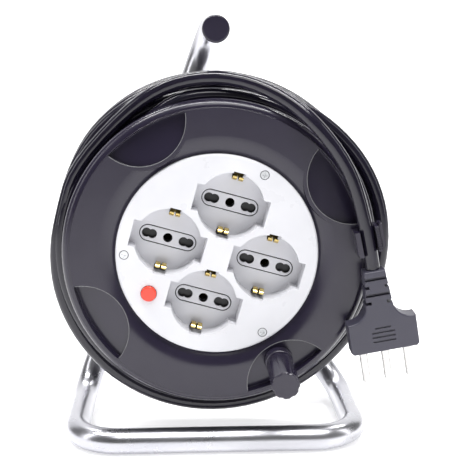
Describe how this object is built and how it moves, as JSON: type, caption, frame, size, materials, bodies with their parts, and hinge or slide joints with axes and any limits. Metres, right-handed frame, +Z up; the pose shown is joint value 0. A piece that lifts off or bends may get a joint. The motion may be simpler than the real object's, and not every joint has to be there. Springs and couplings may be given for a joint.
{
  "type": "extension cord reel",
  "caption": "Extension cord reel: a cable drum with universal sockets, thermal cut-out and crank knob, turning on a bent tube stand, with the cable end and plug clipped at the rim.",
  "frame": {"origin": "on the floor, under the middle of the stand and knob", "axes": "+Z up, sockets face -Y, drum axis along Y, +X to the right of someone facing the sockets"},
  "size_m": [0.2178, 0.164, 0.264],
  "materials": {
    "satin_steel": "bright satin zinc-plated tube",
    "black_plastic": "fine satin moulded black",
    "white_plastic": "smooth white moulding",
    "zinc": "zinc-plated",
    "steel_insert": "turned steel",
    "nylon": "natural nylon",
    "grey_plastic": "light grey moulding",
    "carrier_plastic": "grey moulding",
    "shutter_grey": "dark grey moulding",
    "brass": "stamped brass",
    "cutout_plastic": "black moulding",
    "red_plastic": "translucent red moulding",
    "brown_wire": "PVC insulation",
    "blue_wire": "PVC insulation",
    "earth_wire_green": "PVC insulation",
    "cable_black": "satin black PVC sheath",
    "plug_black": "moulded black PVC",
    "plug_face_grey": "black insulating carrier",
    "nickel": "nickel-plated pins"
  },
  "bodies": {
    "stand": {"frame_tube": "satin_steel", "handle_end_cap": "black_plastic", "axle_insert": "steel_insert", "axle_washer": "zinc", "axle_screw": "zinc", "axle_collar": "zinc"},
    "drum": {"front_flange": "black_plastic", "drum_barrel": "black_plastic", "rear_flange": "black_plastic", "knob_bushing": "black_plastic", "cord_clip": "black_plastic", "cord_anchor": "black_plastic", "inlet_grommet": "black_plastic", "socket_panel": "white_plastic", "panel_screws": "zinc", "flange_screws": "zinc", "knob_pin": "zinc", "knob_washer": "zinc", "anchor_screws": "zinc", "cutout_terminals": "zinc", "hub_bush": "nylon", "socket_insert_1": "grey_plastic", "contact_carrier_1": "carrier_plastic", "pin_contacts_1": "brass", "earth_strap_1": "brass", "socket_insert_2": "grey_plastic", "contact_carrier_2": "carrier_plastic", "pin_contacts_2": "brass", "earth_strap_2": "brass", "socket_insert_3": "grey_plastic", "contact_carrier_3": "carrier_plastic", "pin_contacts_3": "brass", "earth_strap_3": "brass", "socket_insert_4": "grey_plastic", "contact_carrier_4": "carrier_plastic", "pin_contacts_4": "brass", "earth_strap_4": "brass", "earth_busbar": "brass", "line_busbar": "brass", "neutral_busbar": "brass", "thermal_cutout": "cutout_plastic", "line_wire_in": "brown_wire", "line_wire_out": "brown_wire", "neutral_wire": "blue_wire", "earth_wire": "earth_wire_green", "inner_lead": "cable_black", "cable_winding": "cable_black", "cable_tail": "cable_black", "plug_body": "plug_black", "plug_pin_carrier": "plug_face_grey", "plug_pins": "nickel"},
    "crank_knob": {"knob": "black_plastic"},
    "reset_button": {"reset_button": "red_plastic"},
    "shutter_1": {"shutter_1": "shutter_grey"},
    "shutter_2": {"shutter_2": "shutter_grey"},
    "shutter_3": {"shutter_3": "shutter_grey"},
    "shutter_4": {"shutter_4": "shutter_grey"}
  },
  "joints": [
    {"name": "drum_spin", "type": "hinge", "parent": "stand", "child": "drum", "pos_m": [0, 0.03, 0.126], "axis": [0, 1, 0], "continuous": true},
    {"name": "knob_spin", "type": "hinge", "parent": "drum", "child": "crank_knob", "pos_m": [0.03657, -0.066, 0.06109], "axis": [0, 1, 0], "continuous": true},
    {"name": "button_press", "type": "slide", "parent": "drum", "child": "reset_button", "axis": [0, 1, 0], "range_m": [0, 0.0025], "stiffness_N_per_m": 1200, "springref_m": -0.001},
    {"name": "shutter_1_slide", "type": "slide", "parent": "drum", "child": "shutter_1", "axis": [0.2689, 0, 0.9632], "range_m": [0, 0.0066], "stiffness_N_per_m": 120, "springref_m": -0.002},
    {"name": "shutter_2_slide", "type": "slide", "parent": "drum", "child": "shutter_2", "axis": [0.2689, 0, 0.9632], "range_m": [0, 0.0066], "stiffness_N_per_m": 120, "springref_m": -0.002},
    {"name": "shutter_3_slide", "type": "slide", "parent": "drum", "child": "shutter_3", "axis": [0.2689, 0, 0.9632], "range_m": [0, 0.0066], "stiffness_N_per_m": 120, "springref_m": -0.002},
    {"name": "shutter_4_slide", "type": "slide", "parent": "drum", "child": "shutter_4", "axis": [0.2689, 0, 0.9632], "range_m": [0, 0.0066], "stiffness_N_per_m": 120, "springref_m": -0.002}
  ]
}
